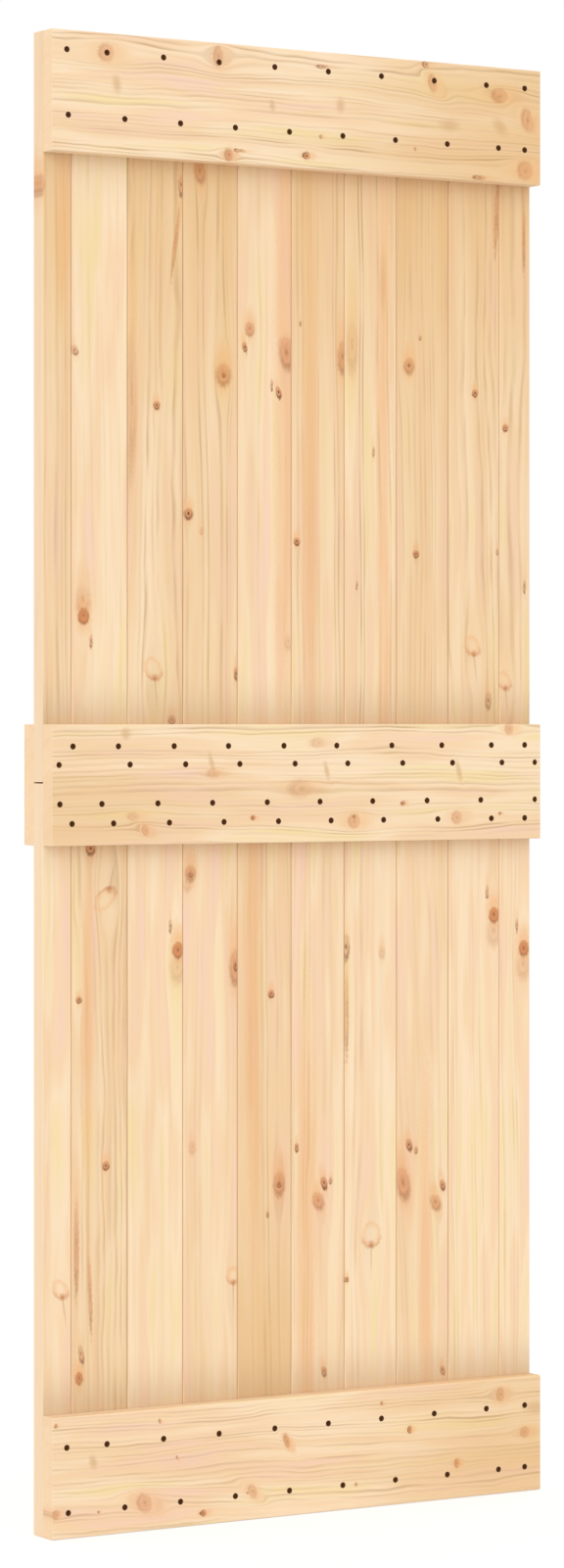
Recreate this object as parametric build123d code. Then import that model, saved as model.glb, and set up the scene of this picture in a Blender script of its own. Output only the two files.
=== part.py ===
from build123d import *
from collections import namedtuple
import os

# A ledged barn door leaf of solid pine. Two tiers of upright tongue-and-groove boards stand one on
# the other, and four cross boards, called ledges, hold them together with countersunk screws.
# Millimetres. X runs along the door, Y from front to back and Z up. The origin is on the floor, at
# the middle of the door's width and of the boards' thickness. The screwed side faces -Y.

# The whole leaf
door_height = 2045.0
door_width = 800.0

# Upright boards
board_thickness = 27.0
board_cover = 87.8  # from one joint line to the next
left_end_width = 44.8  # the first board, ripped down from a full one
narrowest_end_board = 35.0  # the last board takes what is left, and is never narrower than this
joint_gap = 0.4  # open line between two boards at their faces
joint_bevel = 2.0  # bevel on both sides of a joint, front and back
ripped_edge_bevel = 1.0  # the outer edges of the two ripped boards are only eased

# Tongue and groove, on the boards' mid-plane
tongue_thickness = 7.0
tongue_reach = 7.0
tongue_tip_bevel = 1.0
groove_side_clearance = 0.2  # on each side of the tongue
groove_end_clearance = 0.8  # beyond the tongue's tip

# The two tiers
tier_gap = 2.0
tier_joint_rise = 1.5  # the gap's middle above the leaf's mid-height

# Ledges
ledge_height = 165.0
ledge_thickness = 27.0
ledge_edge_radius = 2.0  # the long edges are rounded over
ledge_end_bevel = 1.0  # the sawn ends are only eased
middle_ledge_drop = 1.5  # the middle pair's centre line below the leaf's mid-height

# Screws and their holes, drawn with eight flats, which is enough at their size
screw_flats = 8
head_diameter = 7.5
shank_diameter = 4.0
head_sink = 0.4  # the head lies this far below the ledge's face
point_length = 5.0
hole_clearance = 0.1  # around the whole screw
hole_end_clearance = 0.5  # beyond the point
short_screw_end_cover = 9.0  # wood left behind the point of a screw that ends in a board
long_screw_end_cover = 11.0  # wood left behind the point of a screw that ends in the rear ledge

# Heights of the screw rows, measured from the edges of their ledges
outer_row_spacing = 88.6
top_row_inset = 27.0  # from the leaf's top edge to the top ledge's upper row
bottom_row_inset = 35.0  # from the leaf's bottom edge to the bottom ledge's lower row
middle_outer_row_inset = 30.0  # from either edge of the middle ledge to its first row
upper_pair_drop = 25.0
lower_pair_drop = 26.6

# Where a row's screws sit. Each full board takes one, at a share of its cover from its left edge,
# and each ripped end board takes one, at a share of its own width. The shifts are added board by
# board, in millimetres, because the rows were not set out quite evenly.
ScrewRow = namedtuple("ScrewRow", "height share left_end_share right_end_share shifts")
outer_wandering = (0.0, 1.1, 1.7, 3.9, 3.9, 4.4, 5.7, 7.0)
upper_pair_wandering = (0.0, 0.0, -1.0, 1.0, 0.0, 4.1, 0.7, -2.2)
lower_pair_wandering = (0.0, 0.0, -0.8, -0.4, -1.9, -2.3, 1.4, 5.3)
even = (0.0,)

left_edge = -door_width / 2
right_edge = door_width / 2
full_boards = int((door_width - left_end_width - narrowest_end_board) // board_cover)
first_joint = left_edge + left_end_width
last_joint = first_joint + full_boards * board_cover

panel_front = -board_thickness / 2
panel_back = board_thickness / 2
screwed_face = panel_front - ledge_thickness

tier_joint = door_height / 2 + tier_joint_rise
middle_ledge_centre = door_height / 2 - middle_ledge_drop
top_ledge_centre = door_height - ledge_height / 2
bottom_ledge_centre = ledge_height / 2

head_radius = head_diameter / 2
shank_radius = shank_diameter / 2
short_screw_reach = ledge_thickness + board_thickness - short_screw_end_cover
long_screw_reach = 2 * ledge_thickness + board_thickness - long_screw_end_cover


def full_board_left(k):
    """The joint line at the left of full board k, counted from zero."""
    return first_joint + k * board_cover


def board_profile(left, right, has_groove, has_tongue):
    """Plan section of one board between two joint lines, or between a joint and a ripped edge."""
    body_left = left + joint_gap / 2 if has_groove else left
    body_right = right - joint_gap / 2 if has_tongue else right
    body = Rectangle(body_right - body_left, board_thickness)
    profile = Pos((body_left + body_right) / 2, 0) * body

    left_corners = profile.vertices().group_by(Axis.X)[0]
    profile = chamfer(left_corners, joint_bevel if has_groove else ripped_edge_bevel)
    right_corners = profile.vertices().group_by(Axis.X)[-1]
    profile = chamfer(right_corners, joint_bevel if has_tongue else ripped_edge_bevel)

    if has_tongue:
        tongue = Rectangle(tongue_reach, tongue_thickness)
        tip = tongue.vertices().group_by(Axis.X)[-1]
        profile += Pos(body_right + tongue_reach / 2, 0) * chamfer(tip, tongue_tip_bevel)
    if has_groove:
        depth = tongue_reach - joint_gap + groove_end_clearance
        width = tongue_thickness + 2 * groove_side_clearance
        profile -= Pos(body_left + depth / 2, 0) * Rectangle(depth, width)
    return profile


def cross_section(inner_radius, depth):
    """The section of a screw or its hole, this deep below the screwed face."""
    plane = Plane((0, screwed_face + depth, 0), x_dir=(1, 0, 0), z_dir=(0, 1, 0))
    half_a_flat = 180 / screw_flats
    return plane * RegularPolygon(
        inner_radius, screw_flats, major_radius=False, rotation=half_a_flat
    )


def rod(inner_radius, start, end):
    return extrude(cross_section(inner_radius, start), end - start)


def spike(inner_radius, start, length):
    """A point that tapers from this radius to nothing."""
    root = cross_section(inner_radius, start).face()
    return loft([root, Vertex(0, screwed_face + start + length, 0)], ruled=True)


def screw(reach):
    """A countersunk screw with a right-angled cone under its head."""
    head = spike(head_radius, head_sink, head_radius)
    shank = rod(shank_radius, head_sink, reach - point_length)
    return head + shank + spike(shank_radius, reach - point_length, point_length)


def screw_hole(reach):
    """The countersunk hole for that screw, open at the screwed face."""
    mouth_radius = head_radius + hole_clearance + head_sink
    countersink = spike(mouth_radius, 0, mouth_radius)
    return countersink + rod(shank_radius + hole_clearance, 0, reach + hole_end_clearance)


def row_places(row):
    """Where the screws of one row sit, as (x, z)."""
    places = [first_joint - left_end_width * (1 - row.left_end_share)]
    for k in range(full_boards):
        shift = row.shifts[k % len(row.shifts)]
        places.append(full_board_left(k) + row.share * board_cover + shift)
    places.append(last_joint + (right_edge - last_joint) * row.right_end_share)
    return [(x, row.height) for x in places]


def outer_rows(upper_height):
    """The two rows of the top or the bottom ledge."""
    return [
        ScrewRow(upper_height, 0.454, 0.50, 0.48, outer_wandering),
        ScrewRow(upper_height - outer_row_spacing, 0.772, 0.55, 0.48, even),
    ]


def middle_rows():
    """Four rows, two into each tier. The screws of a pair lean the same way on every full board."""
    first = middle_ledge_centre + ledge_height / 2 - middle_outer_row_inset
    last = middle_ledge_centre - ledge_height / 2 + middle_outer_row_inset
    return [
        ScrewRow(first, 0.657, 0.71, 0.48, upper_pair_wandering),
        ScrewRow(first - upper_pair_drop, 0.865, 0.23, 0.82, upper_pair_wandering),
        ScrewRow(last + lower_pair_drop, 0.364, 0.26, 0.82, lower_pair_wandering),
        ScrewRow(last, 0.572, 0.68, 0.48, lower_pair_wandering),
    ]


def all_places(rows):
    return [place for row in rows for place in row_places(row)]


def drilled(wood, places, hole):
    """Cuts the hole at every place that lies on this piece of wood."""
    box = wood.bounding_box()
    cutters = [
        Pos(x, 0, z) * hole
        for x, z in places
        if box.min.X < x < box.max.X and box.min.Z < z < box.max.Z
    ]
    return wood - cutters if cutters else wood


def ledge(centre_height, front_face):
    """A cross board with eased ends and rounded long edges."""
    board = Box(door_width, ledge_thickness, ledge_height)
    board = chamfer(board.edges().filter_by(Axis.Z), ledge_end_bevel)
    board = fillet(board.edges().filter_by(Axis.X), ledge_edge_radius)
    return Pos(0, front_face + ledge_thickness / 2, centre_height) * board


def tier_boards(foot, head):
    """Every board of one tier from left to right, cut to length but not yet drilled."""
    joints = [full_board_left(k) for k in range(full_boards + 1)]
    spans = list(zip([left_edge] + joints, joints + [right_edge]))
    boards = []
    for k, (left, right) in enumerate(spans):
        profile = board_profile(left, right, has_groove=k > 0, has_tongue=k < len(spans) - 1)
        boards.append(Pos(0, 0, foot) * extrude(profile, head - foot))
    return boards


def screw_group(places, reach):
    one = screw(reach)
    return Compound(children=[Pos(x, 0, z) * one for x, z in places])


def build_door():
    """Every piece of the leaf by name."""
    top_places = all_places(outer_rows(door_height - top_row_inset))
    bottom_places = all_places(outer_rows(bottom_row_inset + outer_row_spacing))
    middle_places = all_places(middle_rows())
    short_hole = screw_hole(short_screw_reach)
    long_hole = screw_hole(long_screw_reach)

    top_ledge = ledge(top_ledge_centre, screwed_face)
    bottom_ledge = ledge(bottom_ledge_centre, screwed_face)
    middle_ledge_front = ledge(middle_ledge_centre, screwed_face)
    middle_ledge_rear = ledge(middle_ledge_centre, panel_back)

    pieces = {
        "top_ledge": drilled(top_ledge, top_places, short_hole),
        "bottom_ledge": drilled(bottom_ledge, bottom_places, short_hole),
        "middle_ledge_front": drilled(middle_ledge_front, middle_places, long_hole),
        "middle_ledge_rear": drilled(middle_ledge_rear, middle_places, long_hole),
        "top_ledge_screws": screw_group(top_places, short_screw_reach),
        "bottom_ledge_screws": screw_group(bottom_places, short_screw_reach),
        "middle_ledge_screws": screw_group(middle_places, long_screw_reach),
    }
    tiers = {
        "lower": (0, tier_joint - tier_gap / 2, bottom_places),
        "upper": (tier_joint + tier_gap / 2, door_height, top_places),
    }
    for tier, (foot, head, outer_places) in tiers.items():
        for k, board in enumerate(tier_boards(foot, head), start=1):
            board = drilled(board, outer_places, short_hole)
            pieces[f"{tier}_board_{k:02d}"] = drilled(board, middle_places, long_hole)
    return pieces


os.makedirs("parts", exist_ok=True)
for name, piece in build_door().items():
    export_step(piece, f"parts/{name}.step")
    print(name, len(piece.solids()), "solids", round(piece.volume / 1000), "cm3")
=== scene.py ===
# %% [markdown]
# # A ledged barn door in pine
# The door is twenty upright boards in two tiers, held together by four cross boards, which are
# called ledges, and eighty countersunk screws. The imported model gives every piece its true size
# and place. This lesson adds what the eye sees: the wood's grain and knots, the rounded edges of
# the ledges, the heads of the screws, the light and the camera.

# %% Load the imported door
import math
import random
from collections import namedtuple
from functools import partial

import bmesh
import bpy
from mathutils import Matrix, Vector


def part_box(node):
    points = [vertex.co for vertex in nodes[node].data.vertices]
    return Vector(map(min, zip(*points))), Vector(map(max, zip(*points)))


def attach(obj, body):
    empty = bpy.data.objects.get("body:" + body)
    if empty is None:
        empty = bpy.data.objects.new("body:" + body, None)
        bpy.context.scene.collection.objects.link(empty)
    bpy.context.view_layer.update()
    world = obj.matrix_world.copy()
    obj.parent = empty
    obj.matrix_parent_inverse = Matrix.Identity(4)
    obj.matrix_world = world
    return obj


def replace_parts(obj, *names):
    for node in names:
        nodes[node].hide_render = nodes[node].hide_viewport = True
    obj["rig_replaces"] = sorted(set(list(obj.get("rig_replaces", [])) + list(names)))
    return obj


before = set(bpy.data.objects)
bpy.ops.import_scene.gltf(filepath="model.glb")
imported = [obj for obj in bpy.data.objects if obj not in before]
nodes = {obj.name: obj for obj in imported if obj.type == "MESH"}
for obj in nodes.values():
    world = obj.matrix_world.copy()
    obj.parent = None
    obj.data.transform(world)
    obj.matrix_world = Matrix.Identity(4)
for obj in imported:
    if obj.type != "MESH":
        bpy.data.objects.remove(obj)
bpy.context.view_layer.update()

MM = 0.001

# %% [markdown]
# ## The camera
# The photograph looks at the door from the left and from about half its height, with a long lens,
# so upright lines stay upright. A level camera with a little vertical shift does the same: tilting
# it instead would make the boards lean together. The figures come from fitting a pinhole camera to
# the corners of the door, its board joints and its ledges.

# %% Put up the camera
CAMERA_PLACE = (-3.373, -5.5305, 1.110)
CAMERA_TURN = -31.29  # degrees, from looking straight at the screwed side
LENS = 105.9  # millimetres
SENSOR = 36.0  # millimetres, along the picture's height
HORIZON_SHIFT = -0.0411  # share of the picture's height
FARTHEST_SEEN = 100.0


def put_up_camera():
    data = bpy.data.cameras.new("camera")
    data.sensor_width = SENSOR
    data.lens = LENS
    data.shift_y = HORIZON_SHIFT
    data.clip_end = FARTHEST_SEEN
    camera = bpy.data.objects.new("camera", data)
    camera.location = CAMERA_PLACE
    camera.rotation_euler = (math.radians(90), 0, math.radians(CAMERA_TURN))
    bpy.context.scene.collection.objects.link(camera)
    bpy.context.scene.camera = camera


put_up_camera()
bpy.context.scene.view_settings.view_transform = "Standard"
print("camera", CAMERA_PLACE, "lens", LENS, "mm")

# %% [markdown]
# ## A small language for shaders
# A wood pattern is mostly sums: distances to the tree's heart, waves and soft steps. Wiring Math
# nodes one by one hides those sums, so `Signal` wraps a node's output and lets them be written as
# plain arithmetic. `a * 2 + b` adds a Multiply node and an Add node to the material's tree.

# %% Write node sums as arithmetic


def plug(tree, value, socket):
    """Gives a socket a number, a colour or another node's output."""
    if isinstance(value, Signal):
        tree.links.new(value.socket, socket)
    elif isinstance(value, bpy.types.NodeSocket):
        tree.links.new(value, socket)
    else:
        socket.default_value = value


def fill(tree, kind, *values, **settings):
    """Adds a node, fills its inputs in their order and returns its first output."""
    node = tree.nodes.new(kind)
    for label, setting in settings.items():
        setattr(node, label, setting)
    for socket, value in zip(node.inputs, values):
        plug(tree, value, socket)
    return node.outputs[0]


def fill_by_name(tree, node, values):
    """Fills inputs by their names or numbers."""
    for key, value in values.items():
        plug(tree, value, node.inputs[key])


class Signal:
    """The output of a node, on which sums can be done."""

    def __init__(self, tree, socket):
        self.tree = tree
        self.socket = socket

    def math(self, operation, *others):
        return Signal(self.tree, fill(self.tree, "ShaderNodeMath", self, *others, operation=operation))

    def __add__(self, other):
        return self.math("ADD", other)

    def __sub__(self, other):
        return self.math("SUBTRACT", other)

    def __mul__(self, other):
        return self.math("MULTIPLY", other)

    def __truediv__(self, other):
        return self.math("DIVIDE", other)

    def power(self, exponent):
        return self.math("POWER", exponent)

    def size(self):
        return self.math("ABSOLUTE")

    def at_most(self, limit):
        return self.math("MINIMUM", limit)

    def at_least(self, limit):
        return self.math("MAXIMUM", limit)

    def ease(self, start, end):
        """Rises softly from 0 to 1 between start and end, or falls if start is the larger."""
        eased = fill(
            self.tree, "ShaderNodeMapRange", self, start, end, 0.0, 1.0,
            interpolation_type="SMOOTHSTEP",
        )
        return Signal(self.tree, eased)


def length(a, b):
    return (a * a + b * b).power(0.5)


def vector(tree, a, b, c):
    return fill(tree, "ShaderNodeCombineXYZ", a, b, c)


def parts(tree, place):
    """The x, y and z of a vector."""
    node = tree.nodes.new("ShaderNodeSeparateXYZ")
    plug(tree, place, node.inputs[0])
    return [Signal(tree, socket) for socket in node.outputs]


def noise(tree, place, detail=1.0):
    """Soft noise about zero, from about -0.5 to 0.5. Its cells are one unit of the place wide."""
    node = tree.nodes.new("ShaderNodeTexNoise")
    inlet = "Vector"
    if isinstance(place, Signal):
        node.noise_dimensions = "1D"
        inlet = "W"
    fill_by_name(tree, node, {inlet: place, "Scale": 1.0, "Detail": detail})
    return Signal(tree, node.outputs[0]) - 0.5


def mix_colours(tree, share, first, second):
    node = tree.nodes.new("ShaderNodeMix")
    node.data_type = "RGBA"
    fill_by_name(tree, node, {0: share, 6: first, 7: second})
    return node.outputs[2]


def paint(red, green, blue):
    """A colour as it looks on a screen, from 0 to 255, as the linear numbers a shader works in.

    The numbers in the sum are those of the screen standard, sRGB.
    """

    def linear(value):
        value = value / 255
        return value / 12.92 if value <= 0.04045 else ((value + 0.055) / 1.055) ** 2.4

    return (linear(red), linear(green), linear(blue), 1.0)


def grey(level):
    return (level, level, level, 1.0)


def empty_tree(owner):
    """Turns on the nodes of a material or a world and clears them."""
    owner.use_nodes = True
    owner.node_tree.nodes.clear()
    return owner.node_tree


def set_surface(tree, shader, kind="ShaderNodeOutputMaterial"):
    plug(tree, shader, tree.nodes.new(kind).inputs["Surface"])


def coat(tree, colour, roughness, relief, relief_depth, relief_strength, **constants):
    """A painted or planed surface with a fine relief."""
    bump = tree.nodes.new("ShaderNodeBump")
    fill_by_name(tree, bump, {
        "Height": relief, "Distance": relief_depth, "Strength": relief_strength,
    })
    shader = tree.nodes.new("ShaderNodeBsdfPrincipled")
    fill_by_name(tree, shader, {
        "Base Color": colour, "Roughness": roughness, "Normal": bump.outputs[0], **constants,
    })
    set_surface(tree, shader.outputs[0])


class Group:
    """A node group whose inputs are read as signals and whose outputs are set by name."""

    def __init__(self, name, inputs):
        self.tree = bpy.data.node_groups.new(name, "ShaderNodeTree")
        for label in inputs:
            self.tree.interface.new_socket(label, in_out="INPUT", socket_type="NodeSocketFloat")
        self.source = self.tree.nodes.new("NodeGroupInput")
        self.sink = self.tree.nodes.new("NodeGroupOutput")

    def read(self, label):
        return Signal(self.tree, self.source.outputs[label])

    def give(self, label, signal):
        self.tree.interface.new_socket(label, in_out="OUTPUT", socket_type="NodeSocketFloat")
        plug(self.tree, signal, self.sink.inputs[label])

    def use(self, tree, **inputs):
        """Puts the group into another tree and returns its outputs by name."""
        node = tree.nodes.new("ShaderNodeGroup")
        node.node_tree = self.tree
        fill_by_name(tree, node, inputs)
        return {socket.name: Signal(tree, socket) for socket in node.outputs}


print("black reads", paint(0, 0, 0)[0], "and white reads", paint(255, 255, 255)[0])

# %% [markdown]
# ## Light, backdrop and floor
# The door stands in plain white studio light. Most of it comes evenly from all round, which gives
# some soft darkening where the boards meet the ledges; the boards' material adds painted shade
# there too. A wide sun from the upper left adds direction, so the sawn ends on the left are a
# little brighter than the front. Together they light the front to a level of about one, where a
# colour looks as it is written.
#
# The white background is only for the camera, through Light Path, so it adds no light. The floor
# is pale, and lifts to white for the camera where no shadow falls.

# %% Light the studio
SKY_LEVEL = 0.92
BACKDROP_LEVEL = 1.0  # plain white
SUN_POWER = 0.70
SUN_WIDTH = 40  # degrees across, which makes its shadows soft
SUN_HEIGHT = 24  # degrees above the floor
SUN_SIDE = 40  # degrees to the left of straight ahead


def seen_ray(tree):
    """One for rays that the camera sees directly, in a reflection or through glass."""
    path = tree.nodes.new("ShaderNodeLightPath")
    rays = ("Is Camera Ray", "Is Glossy Ray", "Is Transmission Ray")
    camera, glossy, through = (Signal(tree, path.outputs[ray]) for ray in rays)
    return camera.at_least(glossy).at_least(through)


def light_studio():
    world = bpy.data.worlds.new("studio")
    tree = empty_tree(world)
    light = fill(tree, "ShaderNodeBackground", grey(1.0), SKY_LEVEL)
    backdrop = fill(tree, "ShaderNodeBackground", grey(1.0), BACKDROP_LEVEL)
    shown = fill(tree, "ShaderNodeMixShader", seen_ray(tree), light, backdrop)
    set_surface(tree, shown, "ShaderNodeOutputWorld")
    bpy.context.scene.world = world

    data = bpy.data.lights.new("window_light", "SUN")
    data.energy = SUN_POWER
    data.angle = math.radians(SUN_WIDTH)
    sun = bpy.data.objects.new("window_light", data)
    sun.rotation_euler = (math.radians(90 - SUN_HEIGHT), 0, math.radians(-SUN_SIDE))
    bpy.context.scene.collection.objects.link(sun)


light_studio()
print("sky", SKY_LEVEL, "sun", SUN_POWER)

# %% Lay the floor
FLOOR_REACH = 25.0
FLOOR_DROP = 0.5 * MM
FLOOR_GREY = 0.8  # the floor's own colour, which lights the door from below
SHADOW_DEPTH = 0.45  # how much of the floor's own shading the camera sees
FLOOR_LIFT = 0.60  # what is added for the camera


def add_object(bm, name):
    """Puts a finished bmesh into the scene."""
    mesh = bpy.data.meshes.new(name)
    bm.to_mesh(mesh)
    bm.free()
    obj = bpy.data.objects.new(name, mesh)
    bpy.context.scene.collection.objects.link(obj)
    return obj


def lay_floor():
    bm = bmesh.new()
    bmesh.ops.create_grid(bm, x_segments=1, y_segments=1, size=FLOOR_REACH)
    bmesh.ops.translate(bm, verts=bm.verts, vec=(0, 0, -FLOOR_DROP))
    floor = add_object(bm, "floor")

    material = bpy.data.materials.new("pale_floor")
    tree = empty_tree(material)
    plain = fill(tree, "ShaderNodeBsdfDiffuse", grey(FLOOR_GREY))
    shadowed = fill(tree, "ShaderNodeBsdfDiffuse", grey(SHADOW_DEPTH))
    lift = fill(tree, "ShaderNodeEmission", grey(1.0), FLOOR_LIFT)
    lifted = fill(tree, "ShaderNodeAddShader", shadowed, lift)
    set_surface(tree, fill(tree, "ShaderNodeMixShader", seen_ray(tree), plain, lifted))
    floor.data.materials.append(material)


lay_floor()
print("floor reaches", FLOOR_REACH, "m each way")

# %% [markdown]
# ## What pine looks like
# A board is a slice of a trunk. Each year adds a ring: a wide pale band in spring and a narrow
# darker one in late summer. A board cut beside the heart shows the rings as straight stripes, and
# one cut across them shows wide bands and arches. So the pattern is worked out as in the tree:
# how far is this point from the heart, in millimetres? The same sum then also gives the right
# lines on the board's edges and the right arcs on its ends.
#
# Slow streaks of cream, straw, peach and tan run along the grain on top of the rings, because the
# sapwood, the heartwood and the resin differ in colour.

# %% Rings, streaks and fine lines, as one reusable group
# How far each pattern goes before it changes, in millimetres across, below and along the grain
Cell = namedtuple("Cell", "across deep along")
SWAY = Cell(80, 0, 400)  # stripes wander slowly sideways
SWELL = Cell(62, 70, 300)  # rings are not quite round
CURL = Cell(24, 24, 62)  # and curl where the tree had many branches
MOTTLE = Cell(9, 9, 75)  # late wood is stronger in some places
FINE = Cell(2.8, 2.8, 160)
STREAK = Cell(18, 30, 240)
TONE = Cell(30, 60, 800)
SWAY_REACH = 18  # millimetres sideways, for a wobble of one
SWELL_REACH = 17
YEARS_APART = 19  # millimetres over which the rings grow wider and narrower
YEARS_UNEVEN = 1.5  # and by how many rings they then lie off
YEAR_TO_YEAR = 0.47  # how unlike each other two years in a row may be
TONE_START = 3  # shifts the tones along the grain, away from the noise's own origin
LATE_WOOD_STARTS = 0.25  # shares of one year, from spring on
LATE_WOOD_FULL = 0.78
WINTER = 0.82


def make_figure():
    """Inputs are in millimetres: Across the face, Deep below it and Along the grain."""
    group = Group(
        "pine_figure",
        ["Across", "Deep", "Along", "Heart Across", "Heart Deep", "Lean", "Rise", "Ring Width",
         "Wobble", "Curl", "Seed"],
    )
    tree = group.tree
    across, deep, along = (group.read(label) for label in ("Across", "Deep", "Along"))
    seed = group.read("Seed")
    wobble = group.read("Wobble")

    def pattern(cell, sideways, below, detail=1.0):
        place = vector(tree, sideways, below, along / cell.along)
        return noise(tree, place, detail)

    straight = across + pattern(SWAY, across / SWAY.across, seed) * wobble * SWAY_REACH
    swell = pattern(SWELL, across / SWELL.across + seed, deep / SWELL.deep)
    curl = pattern(CURL, across / CURL.across, deep / CURL.deep + seed) * group.read("Curl")
    side = straight + along * group.read("Lean") - group.read("Heart Across")
    down = deep - group.read("Heart Deep") - along * group.read("Rise")
    distance = length(side, down) + swell * wobble * SWELL_REACH + curl
    drift = noise(tree, distance / YEARS_APART + seed) * YEARS_UNEVEN
    ring = distance / group.read("Ring Width") + drift
    year = ring.math("FRACT")
    late_wood = year.ease(LATE_WOOD_STARTS, LATE_WOOD_FULL) * year.ease(1.0, WINTER)
    good_years = noise(tree, ring * YEAR_TO_YEAR + seed, detail=0) * 3.4 + 0.55
    mottle = pattern(MOTTLE, straight / MOTTLE.across, deep / MOTTLE.deep + seed, 0) * 2.8 + 1.0
    strength = good_years.at_least(0.08).at_most(1.25) * mottle.at_least(0.25).at_most(1.7)
    group.give("Rings", late_wood * strength)
    group.give("Fine Lines", pattern(FINE, straight / FINE.across + seed, deep / FINE.deep))
    group.give("Streaks", pattern(STREAK, straight / STREAK.across + seed, deep / STREAK.deep))
    tone_place = vector(
        tree, straight / TONE.across, deep / TONE.deep + seed, along / TONE.along + TONE_START
    )
    group.give("Tone", noise(tree, tone_place))
    return group


figure = make_figure()
print("the figure gives", [s.name for s in figure.sink.inputs if s.name])

# %% [markdown]
# ## Knots
# A knot is a branch that the trunk grew round, so two things happen. Its own wood shows as a small
# dark or reddish disc with rings of its own, and the grain of the board parts round it like water
# round a stone. That flow has a plain formula: the sideways place of each fibre is multiplied by
# one minus the square of the knot's radius over the square of the distance. The distance is
# squeezed along the grain, because fibres part well before they reach the knot.
#
# The same group draws everything that follows the grain as a spot: tight pin knots, red knots,
# amber patches of resin and thin dark dashes. They differ only in their strengths.

# %% One group for every spot
# Lengths are shares of the spot's radius, if nothing else is said.
RIPPLE_SHARE = 0.3  # how uneven the spot's outline is
RIPPLE_REACH = 2.4  # and the same in millimetres, for small spots
FLOW_STRETCH = 3.0  # fibres part this many times earlier along the grain than across it
HALO_RISE = 0.5  # the glow round a spot lies a little above it
HALO_STRETCH = 1.7
RING_SHARPNESS = 15
RING_STRENGTH = 0.12

# What every mark's group reads, and what only a spot's group reads
MARK_INPUTS = ["Across", "Along", "Ripple", "Bent", "Amber", "Glow", "Dark", "Straw",
               "Spot Across", "Spot Along", "Radius", "Lean"]
SPOT_INPUTS = ["Stretch", "Push", "Blur", "Core", "Halo", "Centre", "Resin"]


def make_spot():
    group = Group("grain_spot", MARK_INPUTS + SPOT_INPUTS)
    v = (group.read("Along") - group.read("Spot Along")) / group.read("Stretch")
    u = group.read("Across") - group.read("Spot Across") + v * group.read("Lean")
    radius = group.read("Radius")
    blur = group.read("Blur")
    ripple = group.read("Ripple")
    near = (length(u, v) + ripple * (radius * RIPPLE_SHARE + RIPPLE_REACH)) / radius
    flow = length(u, v / FLOW_STRETCH) / radius
    inside = near.ease(blur + 1.05, blur * -0.8 + 0.85)
    rings = (near * RING_SHARPNESS).math("SINE") * RING_STRENGTH + (1 - RING_STRENGTH)
    foot_is_darker = (v / radius * -0.5) + 0.6
    rim = near.ease(0.6, 0.95) * near.ease(blur + 1.25, 0.98) * foot_is_darker.at_least(0.0)
    halo = length(u, (v - radius * HALO_RISE) / HALO_STRETCH) / radius + ripple * 1.2
    spread = halo.ease(2.4, 0.6)

    push = (flow * flow).at_least(1.0).power(-1) * group.read("Push")
    group.give("Bent", group.read("Bent") - u * push)
    amber = (inside * rings + rim * 0.3) * group.read("Core")
    group.give("Amber", group.read("Amber").at_least(amber))
    group.give("Glow", group.read("Glow").at_least(spread * group.read("Halo")))
    dark = near.ease(0.52, 0.05) + rim * 0.75
    group.give("Dark", group.read("Dark").at_least(dark * group.read("Centre")))
    group.give("Straw", group.read("Straw").at_least(near.ease(2.0, 0.2) * group.read("Resin")))
    return group


spot = make_spot()
print("a spot takes", len(spot.source.outputs) - 1, "values")

# %% [markdown]
# Where a branch died early the trunk closed over it. The face then shows no dark disc, but a
# pale cap in a thin brown rim that is strongest at its foot, and a fine crack below it.

# %% A group for grown-over knots
CAP_RISE = 0.8  # the cap's middle above the scar's foot, in shares of its radius
CAP_STRETCH = 1.15
CAP_RIPPLE = 9  # millimetres
RIM_WIDTH = 3.6  # millimetres, and so are the next three
CRACK_WIDTH = 2.2
BLUSH_WIDTH = 9.0
CAP_EDGE = 4.0
SCAR_FLOW_STRETCH = 4.0
SCAR_PUSH = 0.85


def make_scar():
    group = Group("grown_over_knot", MARK_INPUTS + ["Way Up", "Tail"])
    radius = group.read("Radius")
    u = group.read("Across") - group.read("Spot Across")
    v = (group.read("Along") - group.read("Spot Along")) * group.read("Way Up")
    tilted = u + v * group.read("Lean") * 2
    from_middle = length(tilted, v / CAP_STRETCH - radius * CAP_RISE)
    inside = radius - from_middle + group.read("Ripple") * CAP_RIPPLE
    line = inside.size().ease(RIM_WIDTH, 0.6) * v.ease(radius * 1.1, radius * 0.05)
    foot = length(u, v).ease(radius * 0.5, radius * 0.08)
    blush = inside.ease(BLUSH_WIDTH, 3.0) * inside.ease(-0.5, 1.5)
    cap = inside.ease(CAP_EDGE, BLUSH_WIDTH)
    beside_crack = (u + v * group.read("Lean") + group.read("Ripple") * 2).size()
    crack = beside_crack.ease(CRACK_WIDTH, 0.4)
    crack = crack * v.ease(3.0, -4.0) * v.ease(group.read("Tail") * -1, -12.0)
    flow = length(u, v / SCAR_FLOW_STRETCH) / radius

    push = (flow * flow).at_least(1.0).power(-1) * SCAR_PUSH
    group.give("Bent", group.read("Bent") - u * push)
    group.give("Amber", group.read("Amber").at_least(line * 0.34 + foot * 0.34))
    group.give("Glow", group.read("Glow").at_least(blush * 0.35))
    group.give("Dark", group.read("Dark").at_least(foot * 0.14 + crack * 0.17 + line * 0.03))
    group.give("Straw", group.read("Straw").at_least(crack * 0.2) - cap * 0.22)
    return group


scar = make_scar()
print("spot and scar groups:", spot.tree.name, scar.tree.name)
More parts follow.
